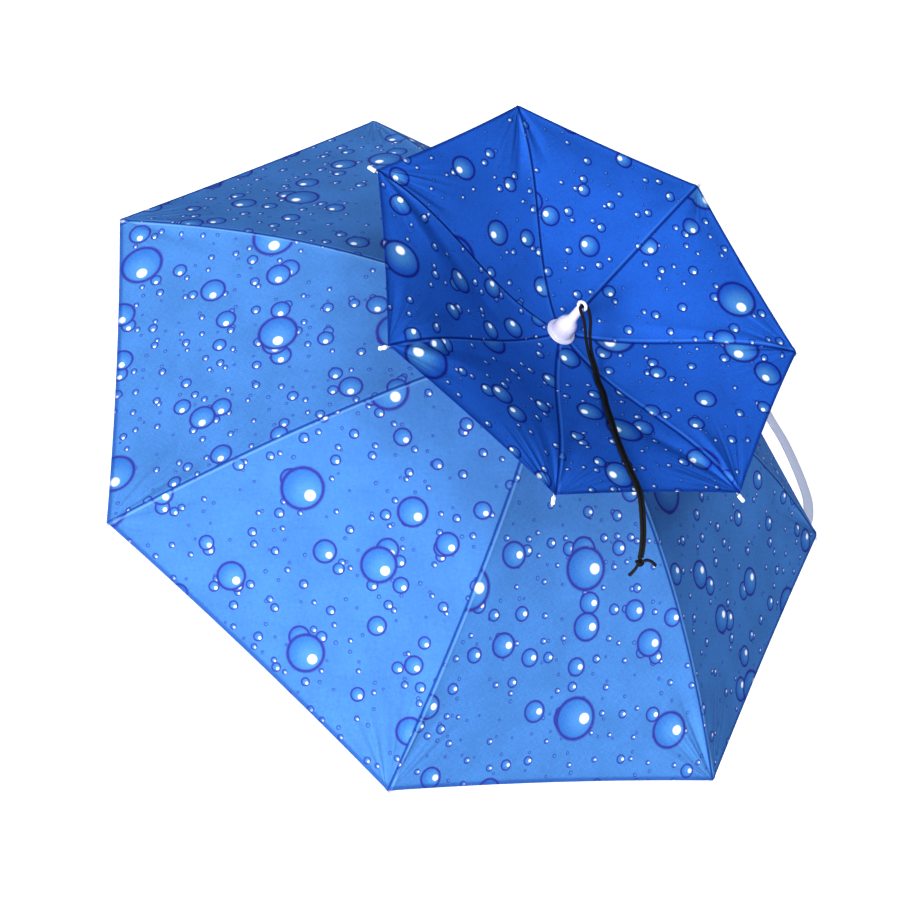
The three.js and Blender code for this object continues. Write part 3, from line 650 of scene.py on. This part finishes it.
# One cloth: the wide canopy's material carries painted light and the bowl's carries painted shade.
wideLitCloth = clothMaterial("wide_cloth_painted_light", wideLitInks)
bowlShadedCloth = clothMaterial("bowl_cloth_painted_shade", bowlShadedInks)
clothInside = clothMaterial("cloth_inside", insideInks)
lowerCloth, lowerArea = makeCanopy("lowerCloth", lower, [wideLitCloth, clothInside])
upperCloth, upperArea = makeCanopy("upperCloth", upper, [bowlShadedCloth, clothInside])
for cloth, nodeName, area, width, ribName in (
    (lowerCloth, "lower_panel_", lowerArea, lower["flat"], "lower_rib_"),
    (upperCloth, "upper_panel_", upperArea, upper["flat"], "upper_rib_")
):
    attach(cloth, "root")
    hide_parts(*[f"{nodeName}{n}" for n in range(1, ribCount + 1)])
print("canopies made")

# Glossy moulded plastic, slightly translucent at its edges
def plasticMaterial(name, color, roughness, clear=0.0):
    material, tree, shader = newMaterial(name)
    place = node(tree, "TexCoord").outputs["Object"]
    marks = node(tree, "TexNoise", {"Vector": place, "Scale": 260.0, "Detail": 5.0, "Roughness": 0.65})
    tint = node(tree, "TexNoise", {"Vector": place, "Scale": 70.0, "Detail": 2.0})
    tree.links.new(
        blendColor(tree, ramp(tree, tint.outputs[0], 0.35, 0.7), color, [0.93 * c for c in color[:3]] + [1]),
        shader.inputs["Base Color"]
    )
    tree.links.new(
        ramp(tree, marks.outputs[0], 0.3, 0.75, roughness - 0.06, roughness + 0.1), shader.inputs["Roughness"]
    )
    shader.inputs["Subsurface Weight"].default_value = clear
    shader.inputs["Subsurface Radius"].default_value = (0.004, 0.004, 0.005)
    shader.inputs["Subsurface Scale"].default_value = 1.0
    shader.inputs["Coat Weight"].default_value = 0.25
    shader.inputs["Coat Roughness"].default_value = 0.12
    bumpFrom(tree, shader, marks.outputs[0], 0.00004)
    return material


# Drawn steel wire with fine marks along it
def wireMaterial(name):
    material, tree, shader = newMaterial(name)
    place = node(tree, "UVMap", uv_map="place").outputs[0]
    drawn = node(
        tree, "TexNoise",
        {"Vector": vectorCalc(tree, "MULTIPLY", place, (60, 14, 0)), "Scale": 1.0, "Detail": 4.0}
    )
    tree.links.new(
        blendColor(tree, ramp(tree, drawn.outputs[0], 0.35, 0.7), paint(196, 199, 205), paint(150, 153, 160)),
        shader.inputs["Base Color"]
    )
    tree.links.new(ramp(tree, drawn.outputs[0], 0.3, 0.7, 0.24, 0.42), shader.inputs["Roughness"])
    shader.inputs["Metallic"].default_value = 1.0
    bumpFrom(tree, shader, drawn.outputs[0], 0.00005)
    return material


# Woven tape: cross rows of threads
def tapeMaterial(name, color, deep, row, roughness=0.75):
    material, tree, shader = newMaterial(name)
    place = node(tree, "UVMap", uv_map="place").outputs[0]
    axes = node(tree, "SeparateXYZ", {0: place})
    along = calc(tree, "SINE", calc(tree, "MULTIPLY", axes.outputs[0], 2 * math.pi / row))
    across = calc(tree, "SINE", calc(tree, "MULTIPLY", axes.outputs[1], 2 * math.pi * 34))
    weave = calc(tree, "MULTIPLY", along, across)
    fuzz = node(
        tree, "TexNoise", {"Vector": node(tree, "TexCoord").outputs["Object"], "Scale": 420.0, "Detail": 3.0}
    )
    height = calc(tree, "MULTIPLY_ADD", fuzz.outputs[0], 0.6, weave)
    # The colour darkens towards the low parts of the weave: painted shade between the threads.
    tree.links.new(blendColor(tree, ramp(tree, height, -0.7, 1.3), deep, color), shader.inputs["Base Color"])
    shader.inputs["Roughness"].default_value = roughness
    shader.inputs["Sheen Weight"].default_value = 0.2
    bumpFrom(tree, shader, height, 0.00015)
    return material


whitePlastic = plasticMaterial("white_plastic", paint(236, 233, 246), 0.3)
capPlastic = plasticMaterial("cap_plastic", paint(194, 193, 220), 0.24, clear=0.3)
ribWire = wireMaterial("rib_wire")
blueTape = tapeMaterial("blue_elastic", paint(38, 88, 190), paint(20, 52, 140), 1.6 * mm)
whiteTape = tapeMaterial("white_tape", paint(232, 229, 242), paint(200, 197, 216), 1.2 * mm, 0.6)


# What each piece rides on and stands for
def assignPiece(piece, slotName, *nodes):
    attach(piece, "root")
    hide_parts(*nodes)
    return piece


# Ribs and their tips

ribs = {
    "lowerRadius": 1.4 * mm, "lowerDepth": 2.75 * mm, "lowerFrom": 0.0228, "upperRadius": 1.1 * mm,
    "upperDepth": 2.4 * mm, "upperFrom": 0.0143, "steps": 60, "sides": 12
}
tips = {
    # size is a peg's radius and length
    "lowerDepth": 3.25 * mm, "upperDepth": 3.0 * mm, "gap": 0.3 * mm, "sides": 20,
    "lowerSize": (2.2 * mm, 9 * mm), "upperSize": (1.9 * mm, 7.5 * mm)
}
tipProfile = np.array(
    [
        (0, 0), (0.82, 0), (0.98, 0.05), (1.0, 0.2), (0.9, 0.42), (0.88, 0.62), (0.96, 0.8), (0.86, 0.9),
        (0.5, 0.98), (0, 1)
    ]
)


# The wire runs at one depth under the cloth's line, square to it
def ribPath(canopy, start, depth, bearing, steps):
    radius = np.linspace(start, canopy["reach"], steps)
    _, below = ribFrame(canopy, radius)
    out = radius + depth * below[:, 0]
    return np.stack(
        [out * math.cos(bearing), out * math.sin(bearing), canopy["height"](radius) + depth * below[:, 1]], -1
    )


# A peg: its profile turned about the rib's direction at the end, kept above the ground
def ribTip(canopy, name, depth, radius, length, bearing):
    along, below = (v[0] for v in ribFrame(canopy, np.array([canopy["reach"]])))
    start = np.array([canopy["reach"], canopy["height"](canopy["reach"])]) + depth * below + tips["gap"] * along
    sides = tips["sides"]
    points = turnedPoints(tipProfile * [radius, length], sides)
    out = start[0] + points[..., 2] * along[0] + points[..., 0] * below[0]
    up = start[1] + points[..., 2] * along[1] + points[..., 0] * below[1]
    placed = np.stack(
        [
            out * math.cos(bearing) - points[..., 1] * math.sin(bearing),
            out * math.sin(bearing) + points[..., 1] * math.cos(bearing), np.maximum(up, 0)
        ],
        -1
    )
    tip = makeObject(
        name, placed, gridFaces(len(points), sides, True), endCaps(len(points), sides),
        materials=[whitePlastic]
    )
    soft = tip.modifiers.new("round", "SUBSURF")
    soft.levels = soft.render_levels = 1
    return tip


for rib in range(ribCount):
    number = rib + 1
    for canopy, which in ((lower, "lower"), (upper, "upper")):
        bearing = ribBearing(rib, canopy)
        path = ribPath(canopy, ribs[which + "From"], ribs[which + "Depth"], bearing, ribs["steps"])
        sideways = np.tile([[-math.sin(bearing), math.cos(bearing), 0]], (len(path), 1))
        wire = sweptObject(
            f"{which}Wire{number}", path, circleOutline(ribs[which + "Radius"], ribs["sides"]), [ribWire],
            beside=sideways
        )
        assignPiece(wire, "rib_wire", f"{which}_rib_{number}")
        tip = ribTip(canopy, f"{which}Peg{number}", tips[which + "Depth"], *tips[which + "Size"], bearing)
        assignPiece(tip, "white_plastic", f"{which}_tip_{number}")
print("ribs and tips made")

# Hub, collar and cap

hub = {"base": 0.18711, "sides": 72, "rounding": 0.3 * mm}
collar = {"base": 0.19775, "sides": 64, "rounding": 0.3 * mm}
cap = {
    "base": 0.20705, "sides": 56, "eyeHeight": 41.6 * mm, "eyeRing": 3.9 * mm, "eyeWire": 1.5 * mm,
    "eyeBearing": math.radians(-70), "eyeSteps": 48, "eyeSides": 18
}
hubProfile = np.array(
    [
        (0, 0.3), (3, 0.3), (3.6, 1.2), (9, 1.2), (10, 0.4), (19.6, 0), (21.2, 0.5), (22, 1.7), (22, 7.3),
        (6, 7.45), (6, 19.5), (0, 19.6)
    ]
) * mm
collarProfile = np.array([(6.3, 0.1), (13.2, 0), (14, 0.8), (14, 6.7), (13.2, 7.5), (6.3, 7.4), (6.3, 0.1)]) * mm
capProfile = np.array(
    [
        (0, 0), (12.7, 0), (13.3, 0.5), (13.3, 1.2), (12.8, 1.8), (11.4, 2.1), (10.3, 2.6), (9.95, 4.2),
        (9.8, 9), (9.5, 12.4), (8.7, 15.2), (7.5, 17.6), (6.1, 19.7), (5, 21.8), (4.45, 24.6), (4.2, 29),
        (3.95, 34), (3.8, 38.3), (0, 38.6)
    ]
) * mm


# A body turned about the hat's axis, closed where its profile meets the axis
def turnedObject(name, profile, base, sides, materials, rounding=0):
    points = turnedPoints(profile + [0, base], sides)
    ends = [end[::-1] for end in endCaps(len(points), sides)] if profile[0, 0] == 0 else []
    faces = gridFaces(len(points), sides, True)[:, ::-1]
    made = makeObject(name, points, faces, ends, materials=materials)
    if rounding:
        soft = made.modifiers.new("edges", "BEVEL")
        soft.width, soft.segments, soft.limit_method = rounding, 2, "ANGLE"
    return made


assignPiece(
    turnedObject("hubDisc", hubProfile, hub["base"], hub["sides"], [whitePlastic], hub["rounding"]),
    "white_plastic", "hub_post"
)
assignPiece(
    turnedObject(
        "hubCollar", collarProfile, collar["base"], collar["sides"], [whitePlastic], collar["rounding"]
    ),
    "white_plastic", "upper_hub"
)
capShape = smoothLine(np.insert(capProfile[1:-1], 1, 0, axis=1), 90)[:, [0, 2]]
capShape = np.concatenate([capProfile[:1], capShape, capProfile[-1:]])
capBody = turnedObject("capBody", capShape, cap["base"], cap["sides"], [capPlastic])
assignPiece(capBody, "white_plastic", "cap")
ringTurn = np.linspace(0, 2 * math.pi, cap["eyeSteps"] + 1)
hole = np.array([math.cos(cap["eyeBearing"]), math.sin(cap["eyeBearing"]), 0])
level = np.array([-hole[1], hole[0], 0])
eyePath = np.array([0, 0, cap["base"] + cap["eyeHeight"]]) + cap["eyeRing"] * (
    np.cos(ringTurn)[:, None] * level + np.sin(ringTurn)[:, None] * [0, 0, 1]
)
capEye = sweptObject(
    "capEye", eyePath, circleOutline(cap["eyeWire"], cap["eyeSides"]), [capPlastic],
    beside=np.tile(hole, (len(eyePath), 1))
)
assignPiece(capEye, "white_plastic", "cap")
print("hub and cap made")

# Headband, stays and chin strap

band = {
    "base": 0.08661, "width": 25 * mm, "inner": 90.2 * mm, "outer": 91.8 * mm, "steps": 240,
    "ripple": 0.15 * mm, "ripples": 80
}
flatSection = np.array(
    [(-1, -0.7), (-0.97, -1), (0.97, -1), (1, -0.7), (1, 0.7), (0.97, 1), (-0.97, 1), (-1, 0.7)]
) / 2


# The flat section scaled to a width and a thickness
def tapeOutline(width, thickness):
    return flatSection * [width, thickness]


turns = np.linspace(0, 2 * math.pi, band["steps"] + 1)
bandRadius = (band["inner"] + band["outer"]) / 2 + band["ripple"] * np.sin(turns * band["ripples"])
bandPath = np.stack(
    [
        bandRadius * np.cos(turns), bandRadius * np.sin(turns),
        np.full(len(turns), band["base"] + band["width"] / 2)
    ],
    -1
)
bandPiece = sweptObject(
    "headbandTape", bandPath, tapeOutline(band["width"], band["outer"] - band["inner"]), [blueTape],
    beside=np.tile([[0, 0, 1.0]], (len(turns), 1))
)
assignPiece(bandPiece, "elastic_band", "headband")

stay = {
    "reach": 0.12, "depth": 4.8 * mm, "line": 93.3 * mm, "width": 8 * mm, "thickness": 1.8 * mm, "steps": 60
}
along, below = (v[0] for v in ribFrame(lower, np.array([stay["reach"]])))
top = np.array([stay["reach"], lowerHeight(stay["reach"])]) + below * stay["depth"]
stayLine = np.array(
    [
        top, top + below * 4 * mm, (stay["line"], band["base"] + band["width"] + 2 * mm),
        (stay["line"], band["base"] + 2 * mm)
    ]
)
for rib in range(ribCount):
    bearing = ribBearing(rib, lower)
    path = smoothLine(
        np.stack([stayLine[:, 0] * math.cos(bearing), stayLine[:, 0] * math.sin(bearing), stayLine[:, 1]], -1),
        stay["steps"]
    )
    sideways = np.tile([[-math.sin(bearing), math.cos(bearing), 0]], (len(path), 1))
    piece = sweptObject(
        f"stayTape{rib + 1}", path, tapeOutline(stay["width"], stay["thickness"]), [blueTape], beside=sideways
    )
    assignPiece(piece, "elastic_band", f"stay_{rib + 1}")

strap = {
    "width": 11 * mm, "thickness": 1.1 * mm, "reach": 0.372, "ground": 0.8 * mm, "seat": 92.9 * mm, "steps": 260
}
strapRoute = np.array([
    # bearing in degrees, out from the axis as a share of the reach, and height as a share of the headband's
    (137.5, 0.285, 0.72), (131, 0.36, 0.3), (126, 0.43, 0.03), (119.2, 0.616, 0), (115.1, 0.772, 0),
    (111.8, 0.898, 0),
    (108, 0.975, 0), (103.2, 1.002, 0), (97.7, 1.004, 0), (91.5, 1, 0), (85.5, 1.001, 0), (81.5, 1.013, 0),
    (77.1, 1.022, 0), (73.7, 1.028, 0), (70.7, 1.03, 0), (67.2, 1.014, 0), (64, 0.963, 0), (61.2, 0.875, 0),
    (57.4, 0.734, 0), (53.8, 0.583, 0), (49.8, 0.46, 0.02), (45, 0.36, 0.28), (41, 0.28, 0.74),
])
strapEnd = np.array([(0.8, 0.2), (0.4, 0.2), (0.05, 0.7), (-0.35, 2.6)])


# The strap lies flat on the headband at one bearing, then falls away from it
def sewnEnd(bearing):
    radius = strap["seat"] + strapEnd[:, 1] * 1.2 * mm
    return np.stack(
        [radius * math.cos(bearing), radius * math.sin(bearing), band["base"] + strapEnd[:, 0] * band["width"]],
        -1
    )


bearings = np.radians(strapRoute[:, 0])
radii = strapRoute[:, 1] * strap["reach"]
lying = np.stack(
    [
        radii * np.cos(bearings), radii * np.sin(bearings),
        strap["ground"] + strapRoute[:, 2] * (band["base"] - strap["ground"])
    ],
    -1
)
strapPath = smoothLine(
    np.concatenate([sewnEnd(ribBearing(4.5, lower)), lying, sewnEnd(ribBearing(2.5, lower))[::-1]]),
    strap["steps"]
)
strapPath[:, 2] = np.maximum(strapPath[:, 2], strap["ground"])
heading = unit(np.gradient(strapPath, axis=0))
flatHeading = heading * [1, 1, 0]
upright = np.clip(1.5 - 4 * np.linalg.norm(flatHeading, axis=1), 0, 1)[:, None]
leaving = np.arange(len(strapPath)) < strap["steps"] // 2
outward = unit(strapPath * [1, 1, 0]) * np.where(leaving, 1, -1)[:, None]
flatHeading = unit(unit(flatHeading) * (1 - upright) + outward * upright)
strapBeside = np.stack([-flatHeading[:, 1], flatHeading[:, 0], np.zeros(len(strapPath))], -1)
strapPiece = sweptObject(
    "strapTape", strapPath, tapeOutline(strap["width"], strap["thickness"]), [whiteTape], beside=strapBeside
)
assignPiece(strapPiece, "strap", "chin_strap")
print("strap length", round(pathLength(strapPath), 4))

# Floor and soft studio light

floorMaterial, floorTree, floorShader = newMaterial("floor")
grain = node(
    floorTree, "TexNoise",
    {"Vector": node(floorTree, "TexCoord").outputs["Object"], "Scale": 3.0, "Detail": 2.0}
)
floorTree.links.new(
    blendColor(floorTree, grain.outputs[0], paint(246, 246, 247), paint(250, 250, 250)),
    floorShader.inputs["Base Color"]
)
floorShader.inputs["Roughness"].default_value = 0.9
floorShader.inputs["Emission Color"].default_value = (1, 0.98, 0.95, 1)
floorShader.inputs["Emission Strength"].default_value = 0.58
floorReach = 20
corners = floorReach * np.array([(-1, -1, 0), (1, -1, 0), (1, 1, 0), (-1, 1, 0)], float)
floor = makeObject("floor", corners, np.array([[0, 1, 2, 3]]), materials=[floorMaterial], smooth=False)

world = bpy.data.worlds.new("studio")
world.use_nodes = True
world.node_tree.nodes["Background"].inputs["Color"].default_value = (0.56, 0.72, 1, 1)
world.node_tree.nodes["Background"].inputs["Strength"].default_value = 0.22
bpy.context.scene.world = world
studioLights = {
    "key": {"bearing": -68, "elevation": 16, "spread": 24, "strength": 7.4, "color": (1, 0.95, 0.88)},
    "top": {"bearing": -68, "elevation": 80, "spread": 36, "strength": 2.1, "color": (0.84, 0.93, 1)},
}
for name, settings in studioLights.items():
    light = bpy.data.lights.new(name, "SUN")
    light.energy, light.angle = settings["strength"], math.radians(settings["spread"])
    light.color = settings["color"]
    lamp = bpy.data.objects.new(name, light)
    lamp.rotation_euler = (math.radians(90 - settings["elevation"]), 0, math.radians(settings["bearing"] + 90))
    bpy.context.collection.objects.link(lamp)
bpy.context.scene.view_settings.view_transform = "Standard"
print("light and floor made")
